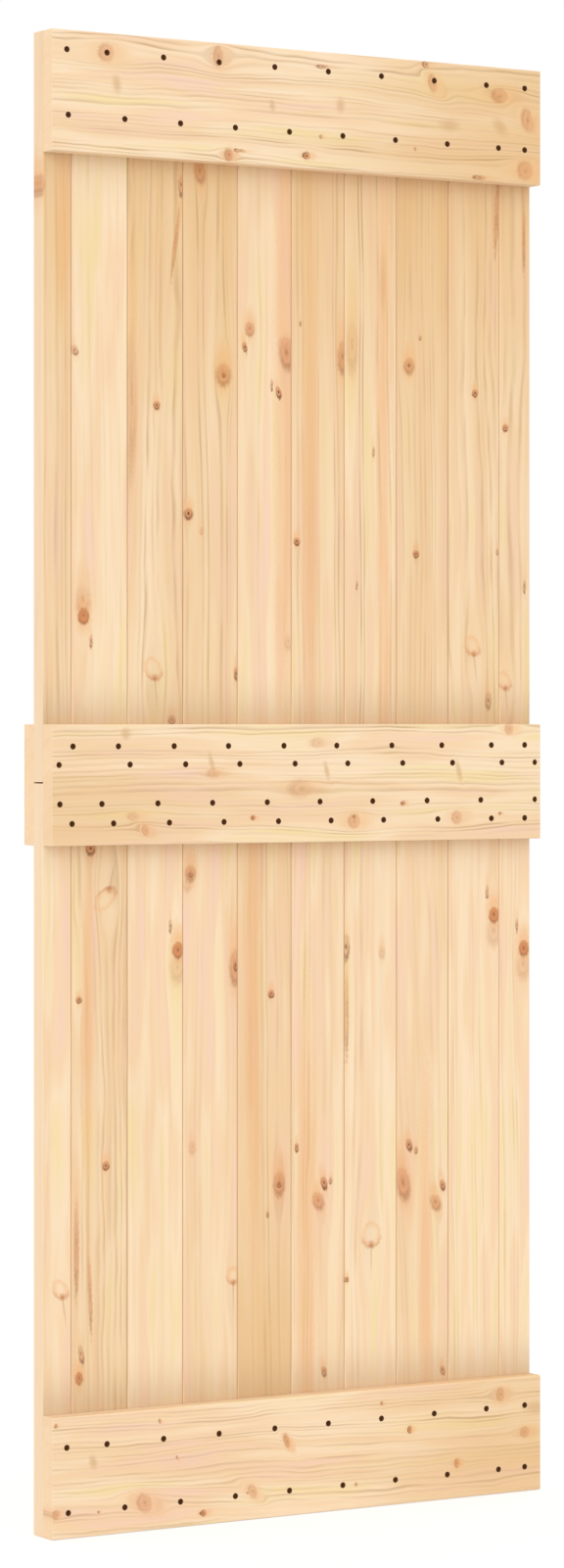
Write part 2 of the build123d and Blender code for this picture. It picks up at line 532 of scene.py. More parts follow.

# %% [markdown]
# ## The pine material
# One function makes the wood of every piece. It turns Object coordinates into the board's own
# three directions in millimetres, so the grain runs up the boards and along the ledges, bends
# them round the knots, and asks the figure group for rings and streaks. Each board has its own
# tone, heart and seed, because no two boards of a door come from the same part of a tree.
#
# The finish is planed and unvarnished, so it is fairly rough. Late wood is harder and a little
# smoother than the spring wood. The eased edges are painted paler, partly as wear and partly as a
# painted highlight, and the boards get painted shade beside the ledges and inside their joints.
# The bump follows the fibres only. Blender works a bump's height out three times, so a height that
# hung on the rings and the knots would make the whole picture three times slower for something too
# fine to see.

# %% Colours and strengths
CREAM = paint(251, 225, 190)
STRAW = paint(247, 222, 168)
PEACH = paint(248, 215, 173)
PINK = paint(248, 211, 186)
TAN = paint(232, 190, 134)
LATE_WOOD = paint(196, 156, 108)
AMBER_KNOT = paint(202, 106, 24)
KNOT_GLOW = paint(240, 176, 112)
DARK_KNOT = paint(108, 54, 8)
RESIN = paint(212, 168, 116)
# Painted shade, for beside the ledges and down inside the board joints
SHADE_BROWN = paint(188, 158, 124)
SAWN_SIDE = paint(248, 219, 183)
END_GRAIN = paint(254, 219, 177)
# Crushed wood and painted shade on the walls of the screw holes
CRUSHED_AND_SHADED_WOOD = paint(74, 42, 14)

# Each spot's values, in the order of SPOT_INPUTS
SPOTS = {
    "pin": (1.25, 0.9, 0.45, 0.66, 0.46, 1.0, 0.0),
    "red": (1.35, 1.0, 0.15, 0.78, 0.60, 0.52, 0.0),
    "amber": (1.4, 1.0, 0.50, 0.50, 0.50, 0.36, 0.0),
    "rosy": (1.0, 1.0, 0.25, 0.34, 0.34, 0.20, 0.0),
    "faint": (1.8, 0.6, 0.80, 0.22, 0.26, 0.14, 0.0),
    "dash": (4.0, 0.3, 0.40, 0.40, 0.26, 0.78, 0.0),
    "streak": (18.0, 0.2, 0.60, 0.40, 0.26, 0.32, 0.0),
    "glow": (16.0, 0.0, 0.90, 0.05, 0.40, 0.0, 0.0),
    "resin": (2.2, 0.12, 0.50, 0.0, 0.0, 0.0, 0.60),
}
Mark = namedtuple("Mark", "kind across along radius lean stretch", defaults=(0.0, None))
KINDS = list(SPOTS) + ["bowl", "arch"]
pin, red, amber, rosy, faint, dash, streak, glow, resin, bowl, arch = (
    partial(Mark, kind) for kind in KINDS
)
print("kinds of mark:", ", ".join(KINDS))

# %% Put marks on the grain
RIPPLE = Cell(3.4, 0, 6)
SCAR_TAIL = 55.0  # how far the crack below a grown-over knot runs, where a mark does not say


def add_marks(tree, place, marks):
    """Bends the grain round every mark and returns the bent place and the marks' strengths."""
    across, along = place["Across"], place["Along"]
    ripple_place = vector(tree, across / RIPPLE.across, 0.0, along / RIPPLE.along)
    ripple = noise(tree, ripple_place, detail=2)
    zero = across * 0
    state = {"Bent": across, "Amber": zero, "Glow": zero, "Dark": zero, "Straw": zero}
    for mark in marks:
        inputs = {
            "Across": across, "Along": along, "Ripple": ripple, "Spot Across": mark.across,
            "Spot Along": mark.along, "Radius": mark.radius, "Lean": mark.lean, **state,
        }
        if mark.kind in ("bowl", "arch"):
            way_up = 1.0 if mark.kind == "bowl" else -1.0
            inputs.update({"Way Up": way_up, "Tail": mark.stretch or SCAR_TAIL})
            state = scar.use(tree, **inputs)
        else:
            inputs.update(zip(SPOT_INPUTS, SPOTS[mark.kind]))
            inputs["Stretch"] = mark.stretch or inputs["Stretch"]
            state = spot.use(tree, **inputs)
    return state


print("outlines ripple every", RIPPLE.across, "mm across and", RIPPLE.along, "mm along")

# %% The wood of one piece
Wood = namedtuple(
    "Wood",
    "tone warmth stripes ring_width heart rise wobble seed fade glue_line curl",
    defaults=((0.0, 0, 1), None, 0.0),
)
FIBRE = Cell(0.55, 0.55, 30)
GRAIN_LEAN = 0.006  # sideways for each millimetre along the grain
SHADE_ABOVE = 98.0  # how far the shade reaches up from the lower ledge, in millimetres
SHADE_UNDER = 95.0  # and down from the upper one
JOINT_SHADE = 0.35
HUE_STOPS = ((0.0, STRAW), (0.36, CREAM), (0.62, PEACH), (1.0, PINK))
HUE_MIDDLE = 0.46
HUE_SPREAD = 1.9
TONE_SPREAD = 0.85
FIBRE_RELIEF = 0.12 * MM


def piece_place(tree, axes, centre):
    """Object coordinates as millimetres across, below and along the grain of this piece."""
    coordinates = tree.nodes.new("ShaderNodeTexCoord")
    mapping = tree.nodes.new("ShaderNodeMapping")
    mapping.inputs["Location"].default_value = [-c / MM for c in centre]
    mapping.inputs["Scale"].default_value = (1 / MM, 1 / MM, 1 / MM)
    plug(tree, coordinates.outputs["Object"], mapping.inputs["Vector"])
    point = parts(tree, mapping.outputs[0])
    normal = parts(tree, coordinates.outputs["Normal"])
    place = {label: point[axis] for label, axis in axes.items()}
    place["Outer Side"] = normal[axes["Across"]].ease(-0.8, -0.95)
    place["End"] = normal[axes["Along"]].size().ease(0.7, 0.9)
    place["Facing"] = normal[axes["Deep"]]
    return place


def inside_of(place, half, label):
    """How far this point lies inside the piece's outer face, in millimetres."""
    return (place[label].size() * -1) + half[label]


def hole_walls(place, half):
    """One on the walls of the screw holes, which face neither front nor back, painted dark as crushed
    wood and painted shade.
    """
    inwards = place["Facing"].ease(-0.93, -0.80) * place["Facing"].ease(0.9, 0.5)
    from_side = inside_of(place, half, "Across")
    from_end = inside_of(place, half, "Along")
    return inwards * from_side.ease(6.0, 9.0) * from_end.ease(6.0, 9.0)


def worn_and_lit_edges(place, half):
    """One on the piece's long edges, falling off within three millimetres, where wear and a painted
    highlight make them paler.
    """
    from_side = inside_of(place, half, "Across")
    return from_side.at_least(inside_of(place, half, "Deep")).ease(3.2, 0.4)


def corner_shade(place, corners):
    """Painted shade, strongest where a board runs in behind a ledge, on the screwed side only."""
    foot, head = corners
    above = (place["Along"] - foot).size().ease(SHADE_ABOVE, 0.0) * 0.68
    under = (place["Along"] - head).size().ease(SHADE_UNDER, 0.0) * 0.38
    shade_share = above.at_least(under)
    return shade_share * shade_share * place["Deep"].ease(-12.5, -13.2)


def joint_shade(place, half):
    """Strongest down inside the joint between two boards, and 0 on their faces."""
    beside = inside_of(place, half, "Across").ease(0.9, 0.3)
    return beside * inside_of(place, half, "Deep").ease(0.8, 1.8) * JOINT_SHADE


def base_hue(tree, grain, warmth):
    """The wood between the late-wood lines, from straw over cream and peach to pink."""
    ramp = tree.nodes.new("ShaderNodeValToRGB")
    stops = ramp.color_ramp.elements
    stops[0].position, stops[0].color = HUE_STOPS[0]
    stops[1].position, stops[1].color = HUE_STOPS[-1]
    for position, colour in HUE_STOPS[1:-1]:
        stops.new(position).color = colour
    hue = grain["Streaks"] * HUE_SPREAD + HUE_MIDDLE + warmth
    plug(tree, hue.at_least(0.0).at_most(1.0), ramp.inputs[0])
    return ramp.outputs[0]


def base_tone(place, grain, wood):
    """How tan the wood is, darker along part of the piece and below a glued seam; on the boards that
    darkening is painted shade.
    """
    amount, darkening_start, darkening_end = wood.fade
    fade = place["Along"].ease(darkening_start, darkening_end) * amount
    tone = grain["Tone"] * TONE_SPREAD + fade + wood.tone
    if wood.glue_line:
        height, darker_below = wood.glue_line
        below = place["Across"].ease(height + 0.3, height - 0.3)
        seam = (place["Across"] - height).size().ease(1.1, 0.2)
        tone = tone + below * darker_below + seam * 0.25
    return tone.at_least(0.0).at_most(1.0)


def make_pine(name, wood, marks, axes, centre, half, corners=(), jointed=False):
    material = bpy.data.materials.new(name)
    tree = empty_tree(material)
    place = piece_place(tree, axes, centre)
    state = add_marks(tree, place, marks)
    grain = figure.use(tree, **{
        "Across": state["Bent"], "Deep": place["Deep"], "Along": place["Along"],
        "Heart Across": wood.heart[0], "Heart Deep": wood.heart[1], "Lean": GRAIN_LEAN,
        "Rise": wood.rise, "Ring Width": wood.ring_width, "Wobble": wood.wobble,
        "Curl": wood.curl, "Seed": wood.seed,
    })
    fibre_place = vector(
        tree, place["Across"] / FIBRE.across, place["Deep"] / FIBRE.deep, place["Along"] / FIBRE.along
    )
    fibres = noise(tree, fibre_place)
    lines = grain["Fine Lines"].ease(0.0, 0.3) * (wood.stripes * 0.22)
    on_faces = (place["End"].at_least(place["Outer Side"]) * -0.75) + 1
    rings = (grain["Rings"] * wood.stripes + lines + fibres * 0.12).at_least(0.0) * on_faces
    end_rings = (place["End"] * (fibres * 0.5 + 0.06)).at_least(0.0)
    # The eased edges are painted paler: partly wear, partly a painted highlight
    edges = worn_and_lit_edges(place, half) * (fibres + 0.75) * 0.35

    coats = [
        (base_tone(place, grain, wood), TAN), (place["Outer Side"] * 0.8, SAWN_SIDE),
        (place["End"] * 0.7, END_GRAIN), (rings, LATE_WOOD), (end_rings, LATE_WOOD),
        (state["Straw"].at_least(0.0), RESIN), ((state["Straw"] * -1).at_least(0.0), CREAM),
        (state["Glow"].at_most(1.0), KNOT_GLOW), (state["Amber"].at_most(1.0), AMBER_KNOT),
        (state["Dark"].at_most(1.0), DARK_KNOT), (edges, CREAM),
    ]
    # Painted shade beside the ledges and down inside the joints between the boards
    if corners:
        coats.append((corner_shade(place, corners), SHADE_BROWN))
    if jointed:
        coats.append((joint_shade(place, half), SHADE_BROWN))
    # The screw holes' walls are painted dark: partly crushed wood, partly painted shade
    if "Along" in half:
        coats.append((hole_walls(place, half), CRUSHED_AND_SHADED_WOOD))
    colour = base_hue(tree, grain, wood.warmth)
    for share, coat_colour in coats:
        colour = mix_colours(tree, share, colour, coat_colour)

    roughness = fibres * 0.16 - rings * 0.12 - state["Dark"] * 0.1 - edges * 0.2 + 0.62
    coat(tree, colour, roughness, fibres, FIBRE_RELIEF, 0.5)
    return material


print("hues from straw to pink at", [position for position, _ in HUE_STOPS])

# %% [markdown]
# ## The upright boards
# The boards keep their CAD shapes, with the tongue, the groove and the bevelled joints. What they
# need is wood. Their looks are listed as a joiner would note them: how dark and how pink each one
# is, how strong its stripes are, where the tree's heart lay, and where its knots are.

# %% Notes on each board
# Painted shade: the upper boards darken towards their heads and the lower ones towards their feet
SHADE_TOWARDS_TOP = (0.42, 1420, 1900)  # the upper boards darken towards their heads
SHADE_TOWARDS_FOOT = (0.16, 420, 150)  # and the lower ones a little towards their feet
# Tone, warmth, stripes, ring width, heart across and below, rise, wobble, seed, and for some
# boards the darkening along the board, the glued seam and the curl, in the order of Wood
TIER_LOOKS = {
    "upper": [
        Wood(0.37, 0.00, 0.32, 7.0, (130, 30), 0.000, 0.5, 1.0, SHADE_TOWARDS_TOP),
        Wood(0.00, -0.05, 0.14, 9.6, (-150, 60), 0.000, 0.4, 2.0),
        Wood(0.30, -0.02, 0.40, 7.2, (95, 55), 0.010, 1.0, 3.3, SHADE_TOWARDS_TOP, None, 4),
        Wood(0.35, 0.05, 0.31, 6.6, (-120, 35), 0.010, 0.5, 4.0, SHADE_TOWARDS_TOP),
        Wood(0.07, 0.05, 0.11, 7.2, (85, 60), 0.006, 0.6, 5.6, (0.22, 1420, 1900)),
        Wood(0.35, 0.06, 0.28, 6.8, (160, 45), 0.005, 0.4, 6.0, SHADE_TOWARDS_TOP),
        Wood(0.10, -0.05, 0.42, 8.0, (-140, 45), 0.005, 0.6, 7.0, SHADE_TOWARDS_TOP),
        Wood(0.45, 0.05, 0.28, 6.0, (-130, 60), 0.005, 0.5, 8.0, SHADE_TOWARDS_TOP),
        Wood(0.33, -0.02, 0.38, 7.2, (-85, 60), 0.010, 0.9, 9.4, SHADE_TOWARDS_TOP, None, 4),
        Wood(0.34, -0.02, 0.54, 7.2, (70, 60), 0.010, 0.8, 10.0, SHADE_TOWARDS_TOP, None, 3),
    ],
    "lower": [
        Wood(0.00, 0.00, 0.15, 8.4, (60, 60), 0.020, 0.8, 11.0, SHADE_TOWARDS_FOOT),
        Wood(0.34, -0.05, 0.38, 7.2, (-75, 60), 0.008, 0.9, 12.0, SHADE_TOWARDS_FOOT, None, 4),
        Wood(0.00, -0.05, 0.08, 9.6, (-140, 60), 0.005, 0.4, 13.0),
        Wood(0.11, 0.05, 0.09, 7.2, (130, 50), 0.010, 0.6, 14.0, SHADE_TOWARDS_FOOT),
        Wood(0.42, 0.05, 0.22, 7.0, (-120, 50), 0.010, 0.5, 15.0, (0.4, 480, 220)),
        Wood(0.08, 0.05, 0.21, 7.2, (90, 60), 0.010, 0.7, 16.0),
        Wood(0.00, -0.02, 0.16, 7.8, (80, 60), 0.010, 0.7, 17.0),
        Wood(0.14, 0.05, 0.12, 6.6, (-90, 55), 0.010, 0.7, 18.0),
        Wood(0.00, -0.05, 0.12, 6.6, (-130, 50), 0.005, 0.5, 19.0),
        Wood(0.00, 0.00, 0.18, 6.6, (120, 50), 0.005, 0.5, 20.0),
    ],
}
BOARD_LOOKS = {
    f"{tier}_board_{k:02d}": look
    for tier, looks in TIER_LOOKS.items()
    for k, look in enumerate(looks, start=1)
}


def red_knot(across, up, hanging=True):
    """A red knot with the marks that come with it: a second, fainter one and a thin dash."""
    way = 1 if hanging else -1
    return [
        red(across, up, 8),
        faint(across - 1, up - 23 * way, 8.5),
        dash(across - 12 * way, up + 34 * way, 2),
    ]


# Places are millimetres from the board's left joint and above the floor.
BOARD_MARKS = {
    "upper_board_01": [amber(-2, 1838, 3.6, 0, 3.6), glow(30, 1760, 8, 0, 6)],
    "upper_board_02": [dash(4, 1614, 4, 0.4, 1.5)] + red_knot(18, 1252, hanging=False),
    "upper_board_03": [
        pin(45, 1543, 4), bowl(42, 1168, 14, 0.10), pin(69, 1110, 4.5), dash(84, 1848, 3.2, 0, 4),
        streak(76, 1775, 2.4, -2.2, 16), faint(6, 1560, 6, 0, 12),
    ],
    "upper_board_04": [
        amber(26, 1870, 7, 0.2, 2), amber(64, 1590, 9.5), pin(65, 1589, 2.6), pin(8, 1395, 5.5),
        faint(29, 1372, 2.5), pin(85, 1174, 3, 0, 2.5),
    ],
    "upper_board_05": [
        amber(19, 1655, 6), pin(11, 1629, 3, 0.3, 2), amber(79, 1625, 10, 0.2, 2),
        pin(66, 1568, 3.6, 0.3, 2), dash(55, 1578, 1.8), glow(78, 1450, 12), faint(82, 1220, 5),
    ],
    "upper_board_06": [
        pin(8, 1360, 3.8), dash(14, 1666, 1.6, 0, 2), amber(84, 1622, 6.5, 0, 3), glow(30, 1420, 8),
    ],
    "upper_board_07": [
        dash(48, 1490, 1.6), dash(20, 1300, 1.4), resin(64, 1728, 4.5, 0, 8), glow(66, 1560, 7),
        glow(66, 1200, 7), faint(12, 1640, 7, 0, 4),
    ],
    "upper_board_08": [
        amber(20, 1614, 7), pin(20, 1615, 2), dash(39, 1654, 1.7, 0, 2), pin(32, 1346, 3.8),
    ],
    "upper_board_09": [
        pin(45, 1579, 3.8), dash(84, 1352, 2, 0, 2), bowl(43, 1205, 13, 0.12),
        dash(68, 1138, 4.2, 0, 2.6), streak(84, 1875, 2.8), streak(80, 1825, 1.8),
    ],
    "upper_board_10": [
        pin(10, 1531, 3.8), bowl(10, 1156, 12, 0.10), streak(42, 1808, 2), dash(43, 1303, 2),
    ],
    "lower_board_01": [bowl(30, 325, 12, 0.15)],
    "lower_board_02": [
        pin(29, 934, 6), arch(58, 877, 15, 0.25), pin(11, 728, 3.4), pin(53, 500, 4.2),
        streak(7, 396, 2.8), streak(28, 330, 2.2, 0.6), dash(14, 245, 3, 0.6),
        red(11, 212, 5.4, 0, 1.5), glow(24, 668, 5),
    ],
    "lower_board_03": red_knot(79, 792),
    "lower_board_04": [
        amber(11, 898, 7), pin(11, 896, 3), faint(6, 885, 5), amber(83, 767, 7, 0, 3),
        pin(84, 768, 3, 0, 2.2), faint(14, 519, 4), bowl(80, 328, 11),
    ],
    "lower_board_05": [
        pin(54, 727, 3.8), amber(67, 462, 7.5, 0, 2), pin(67, 460, 3.2), dash(48, 419, 2, 0, 2),
        glow(24, 600, 8),
    ],
    "lower_board_06": [
        pin(8, 510, 2.4, 0, 2.4), pin(53, 458, 4, 0.4, 2), dash(64, 461, 2.2, 0, 2),
        amber(43, 434, 7.5, 0.3), pin(53, 193, 3.2, 0.3, 2), glow(24, 260, 10),
    ],
    "lower_board_07": [
        dash(2, 790, 4.5, 0, 3.5), streak(3, 700, 2.6), faint(62, 781, 4), bowl(44, 367, 16),
        pin(3, 320, 2.6),
    ],
    "lower_board_08": [
        pin(20, 505, 4, 0.3, 1.8), dash(32, 497, 2.4, 0, 2), amber(10, 452, 9, 0.3, 2.2),
        pin(77, 445, 3.6, 0.3, 1.8), amber(65, 421, 7, 0.3), pin(77, 180, 3.2, 0.3, 1.8),
        glow(48, 300, 7),
    ],
    "lower_board_09": red_knot(78, 829),
    "lower_board_10": red_knot(42, 780),
}
print("boards:", len(BOARD_LOOKS), "marks:", sum(len(m) for m in BOARD_MARKS.values()))

# %% Give every board its wood
BOARD_AXES = {"Across": 0, "Deep": 1, "Along": 2}
TONGUE_REACH = 7 * MM


def board_span(name):
    """Where the board's face starts and ends, without the tongue on its right."""
    low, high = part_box(name)
    last = name.endswith("_10")
    return low.x, high.x if last else high.x - TONGUE_REACH


def ledge_corners():
    """The heights in millimetres at which each tier runs in behind a ledge."""
    foot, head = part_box("middle_ledge_front")
    return {
        "lower": (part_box("bottom_ledge")[1].z / MM, foot.z / MM),
        "upper": (head.z / MM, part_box("top_ledge")[0].z / MM),
    }


LEDGE_CORNERS = ledge_corners()


def dress_boards():
    for name, wood in BOARD_LOOKS.items():
        left, right = board_span(name)
        middle = (left + right) / 2
        half_width = (right - left) / 2
        low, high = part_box(name)
        marks = [m._replace(across=m.across - half_width / MM) for m in BOARD_MARKS.get(name, [])]
        half = {"Across": half_width / MM, "Deep": (high.y - low.y) / 2 / MM}
        corners = LEDGE_CORNERS[name.split("_")[0]]
        jointed = not name.endswith(("_01", "_10"))
        material = make_pine(
            name + "_pine", wood, marks, BOARD_AXES, (middle, 0, 0), half, corners, jointed
        )
        for slot in nodes[name].material_slots:
            slot.material = material


dress_boards()
spans = [board_span(name) for name in BOARD_LOOKS if name.startswith("upper")]
print("board widths in mm:", [round((right - left) / MM, 1) for left, right in spans])

# %% [markdown]
# ## Where the screws are
# The CAD screws already stand in the right places. Their meshes are loose triangles, so a copy is
# merged first. Each screw is then one island of joined points, and the middle of its box gives the
# place. Reading the places keeps the lesson in step with the model if a screw moves.

# %% Find the screws
SAME_CAD_POINT = 0.001 * MM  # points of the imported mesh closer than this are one


def islands(bm):
    """The groups of points that hang together."""
    unseen = set(bm.verts)
    while unseen:
        front = [unseen.pop()]
        island = []
        while front:
            vertex = front.pop()
            island.append(vertex.co.copy())
            for edge in vertex.link_edges:
                other = edge.other_vert(vertex)
                if other in unseen:
                    unseen.discard(other)
                    front.append(other)
        yield island


def screw_places(node_name):
    """The centre line of each screw as (x, z), from the lowest row to the highest."""
    bm = bmesh.new()
    bm.from_mesh(nodes[node_name].data)
    bmesh.ops.remove_doubles(bm, verts=bm.verts, dist=SAME_CAD_POINT)
    places = []
    for island in islands(bm):
        x, _, z = ((min(side) + max(side)) / 2 for side in zip(*island))
        places.append((round(x, 5), round(z, 5)))
    bm.free()
    return sorted(places, key=lambda place: (place[1], place[0]))


LEDGE_SCREWS = {ledge: f"{ledge}_ledge_screws" for ledge in ("top", "middle", "bottom")}
places = {ledge: screw_places(node) for ledge, node in LEDGE_SCREWS.items()}
print("screws found:", {ledge: len(found) for ledge, found in places.items()})

# %% [markdown]
# ## The ledges
# A ledge is a planed board with rounded long edges and sawn ends that are only eased, with a
# countersunk hole for every screw. It could keep its CAD shape, but the screws' holes are drawn
# there with eight flats. Here it starts as a cube of the ledge's size, its edges are bevelled, and
# round holes are cut by turned cutters through a Boolean modifier.

# %% Shape the ledges
LEDGE_EDGE_RADIUS = 2.0 * MM
LEDGE_EDGE_STEPS = 4
LEDGE_END_EASE = 0.8 * MM
LEDGE_END_STEPS = 2
HOLE_MOUTH_RADIUS = 4.25 * MM
HOLE_RADIUS = 2.1 * MM
CUTTER_SIDES = 20
SPARE = 2 * MM  # how far a cutter stands out at both ends
SAME_POINT = 0.0005 * MM  # points closer than this are one


def along_x(edge):
    """One for an edge that runs along the door, and 0 for one across it."""
    return abs((edge.verts[1].co - edge.verts[0].co).normalized().x)


def bevel(bm, edges, width, segments):
    bmesh.ops.bevel(
        bm, geom=edges, offset=width, offset_type="OFFSET", segments=segments, profile=0.5,
        affect="EDGES", material=-1,
    )


def turned(bm, outline, sides, centre):
    """Turns an outline of (radius, y) points round the y axis through the centre."""
    start = [bm.verts.new((centre[0] + radius, y, centre[1])) for radius, y in outline]
    edges = [bm.edges.new(pair) for pair in zip(start, start[1:])]
    bmesh.ops.spin(
        bm, geom=start + edges, cent=(centre[0], 0, centre[1]), axis=(0, 1, 0),
        angle=math.tau, steps=sides, use_merge=True, use_duplicate=False,
    )


def finish_mesh(bm, name):
    """Closes the mesh, turns its faces outwards and puts it into the scene."""
    bmesh.ops.remove_doubles(bm, verts=bm.verts, dist=SAME_POINT)
    bmesh.ops.recalc_face_normals(bm, faces=bm.faces)
    return add_object(bm, name)


def cut_away(obj, cutters):
    """Takes each cutter's form out of the piece for good."""
    for cutter in cutters:
        cut = obj.modifiers.new("cut", "BOOLEAN")
        cut.operation = "DIFFERENCE"
        cut.solver = "EXACT"
        cut.object = cutter
    shaped = bpy.data.meshes.new_from_object(
        obj.evaluated_get(bpy.context.evaluated_depsgraph_get())
    )
    obj.modifiers.clear()
    obj.data = shaped
    for cutter in cutters:
        bpy.data.objects.remove(cutter)


def hole_cutters(centres, front, back):
    """One countersunk cutter for each screw, a little longer than the ledge is thick."""
    bm = bmesh.new()
    sink = HOLE_MOUTH_RADIUS - HOLE_RADIUS
    outline = [
        (0, front - SPARE), (HOLE_MOUTH_RADIUS + SPARE, front - SPARE),
        (HOLE_RADIUS, front + sink), (HOLE_RADIUS, back + SPARE), (0, back + SPARE),
    ]
    for centre in centres:
        turned(bm, outline, CUTTER_SIDES, centre)
    return finish_mesh(bm, "hole_cutters")


def make_ledge(name, node, centres):
    low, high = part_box(node)
    bm = bmesh.new()
    bmesh.ops.create_cube(bm, size=1.0)
    bmesh.ops.scale(bm, verts=bm.verts, vec=high - low)
    bmesh.ops.translate(bm, verts=bm.verts, vec=(low + high) / 2)
    bevel(bm, [e for e in bm.edges if along_x(e) > 0.99], LEDGE_EDGE_RADIUS, LEDGE_EDGE_STEPS)
    bevel(bm, [e for e in bm.edges if along_x(e) < 0.5], LEDGE_END_EASE, LEDGE_END_STEPS)
    ledge = finish_mesh(bm, name)
    if centres:
        cut_away(ledge, [hole_cutters(centres, low.y, high.y)])
    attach(ledge, "root")
    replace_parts(ledge, node)
    return ledge


ledges = [
    make_ledge("top_ledge_board", "top_ledge", places["top"]),
    make_ledge("bottom_ledge_board", "bottom_ledge", places["bottom"]),
    make_ledge("middle_ledge_board", "middle_ledge_front", places["middle"]),
    make_ledge("rear_ledge_board", "middle_ledge_rear", []),
]
for ledge in ledges:
    print(ledge.name, len(ledge.data.polygons), "faces")

# %% Notes on each ledge
LEDGE_AXES = {"Across": 2, "Deep": 1, "Along": 0}
LEDGE_LOOKS = {
    "top_ledge_board": Wood(
        0.06, -0.02, 0.36, 5.0, (150, 75), 0.01, 0.9, 31.0, (0.75, -80, 390), None, 5
    ),
    "bottom_ledge_board": Wood(
        0.02, 0.02, 0.34, 4.8, (-140, 80), 0.01, 0.8, 32.0, (0.6, 0, 390), None, 5
    ),
    "middle_ledge_board": Wood(
        -0.08, 0.00, 0.34, 6.0, (160, 70), 0.01, 0.9, 33.0, (0.34, -60, -380), (11.5, 0.24), 4
    ),
    "rear_ledge_board": Wood(0.10, 0.00, 0.36, 6.0, (140, 80), 0.01, 0.9, 34.0, curl=4),
}
# Places are millimetres above the ledge's lower edge and along from the door's middle.
LEDGE_MARKS = {
    "top_ledge_board": [
        rosy(138, -316, 11), rosy(146, -139, 13, 0, 0.55), amber(11, -122, 7, 0, 0.8),
        dash(18, -104, 2), pin(18, 4, 4), dash(144, 31, 2.2), dash(160, 203, 4, 0, 1.2),
        rosy(134, 215, 11, 0.3, 0.6), rosy(124, 330, 9, 0, 1.4), rosy(92, 378, 14, 0.3, 0.7),
        resin(76, 243, 6.5, 0, 2), resin(80, 330, 8, 0.5, 1.2), dash(46, 28, 2.2, 0, 1),
        dash(5, 295, 2.5), rosy(20, 374, 12), resin(96, -300, 9, 0.2, 0.6),
        resin(84, -52, 6, 0.2, 0.6), dash(39, 185, 2, 0, 0.8), resin(92, 60, 8, 0, 0.7),
    ],
    "middle_ledge_board": [
        resin(152, -286, 6, 0, 1), resin(112, -150, 8, 0.8, 0.5), faint(97, -146, 4.5),
        rosy(20, -255, 6.5, 0.2, 0.8), faint(39, -273, 4), pin(35, -83, 2.6), rosy(158, 346, 7),
        faint(139, 24, 5), resin(100, 37, 8, 0.8, 0.5), resin(98, 259, 9, 0.8, 0.5),
        faint(75, -4, 9, 0, 1.6), pin(35, 83, 1.8), rosy(29, 83, 9), pin(53, 165, 2.6),
        rosy(32, 256, 8), pin(37, 330, 1.8),
    ],
    "bottom_ledge_board": [
        dash(154, -394, 2.4, 0, 1), resin(101, -337, 7, 0.2, 0.7), dash(32, -328, 1.6, 0, 1),
        rosy(38, -256, 11, 0.2, 1), pin(16, -163, 3.4), rosy(39, -84, 8, 0.4, 0.8),
        dash(38, -92, 1.6, 0, 1), amber(104, -28, 7, 0.5, 0.6), rosy(34, -394, 5.5),
        dash(145, 129, 2.6, 0, 0.8), pin(104, 176, 4, 0, 0.8), dash(34, 86, 2, 0, 0.8),
        amber(50, 256, 5, 0, 0.7), rosy(142, 331, 9, 0, 0.7), rosy(85, 373, 7), resin(120, 390, 7),
        dash(148, -232, 2.4, 0.3, 0.8), dash(96, -205, 2, 0.8, 0.8),
    ],
    "rear_ledge_board": [red(60, -210, 7), amber(110, 90, 8), pin(40, 280, 4)],
}


def dress_ledges():
    for ledge in ledges:
        node = ledge["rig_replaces"][0]
        low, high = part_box(node)
        half = {label: (high - low)[axis] / 2 / MM for label, axis in LEDGE_AXES.items()}
        centre = (0, (low.y + high.y) / 2, (low.z + high.z) / 2)
        marks = [m._replace(across=m.across - half["Across"]) for m in LEDGE_MARKS[ledge.name]]
        look = LEDGE_LOOKS[ledge.name]
        pine = make_pine(ledge.name + "_pine", look, marks, LEDGE_AXES, centre, half)
        ledge.data.materials.clear()
        ledge.data.materials.append(pine)


dress_ledges()
print("ledge marks:", sum(len(m) for m in LEDGE_MARKS.values()))

# %% [markdown]
# ## The screws
# They are countersunk wood screws with a dark, burnt-brown finish and a cross recess. The body is
# one outline turned round its axis. The thread is a small triangle spun with a step along the axis
# for every turn, which is how a helix is drawn. The recess is cut once, and the finished screw is
# then copied to every place, each with its cross at another angle, as a hand leaves them.

# %% Turn one screw
HEAD_RADIUS = 3.75 * MM
HEAD_SINK = 0.4 * MM
HEAD_DISH = 0.12 * MM
HEAD_RIM = 0.35 * MM  # the straight edge between the head's face and its cone
SHANK_RADIUS = 1.95 * MM
CORE_RADIUS = 1.35 * MM
THREAD_PITCH = 2.0 * MM
POINT_LENGTH = 5.0 * MM
SCREW_SIDES = 24
THREAD_STEPS = 10  # per turn
THREAD_RUN_IN = 1.5 * MM  # where the shank narrows to the core
RIDGE_START = 1.6 * MM  # just past the run-in
RECESS_WIDTH = 1.0 * MM
RECESS_REACH = 2.05 * MM
RECESS_DEPTH = 1.7 * MM
RECESS_TIP = 0.45  # the wedge's size at its tip, as a share of its mouth
THREAD_HALF_WIDTH = 0.4 * MM
THREAD_ROOT = 0.1 * MM  # how deep the ridge is set into the core


def recess_cutter(along_x, along_z):
    """A wedge that narrows towards its tip."""
    bm = bmesh.new()
    bmesh.ops.create_cube(bm, size=1.0)
    bmesh.ops.scale(bm, verts=bm.verts, vec=(along_x, RECESS_DEPTH * 2, along_z))
    tip = [v for v in bm.verts if v.co.y > 0]
    bmesh.ops.scale(bm, verts=tip, vec=(RECESS_TIP, 1, RECESS_TIP))
    return finish_mesh(bm, "recess_cutter")


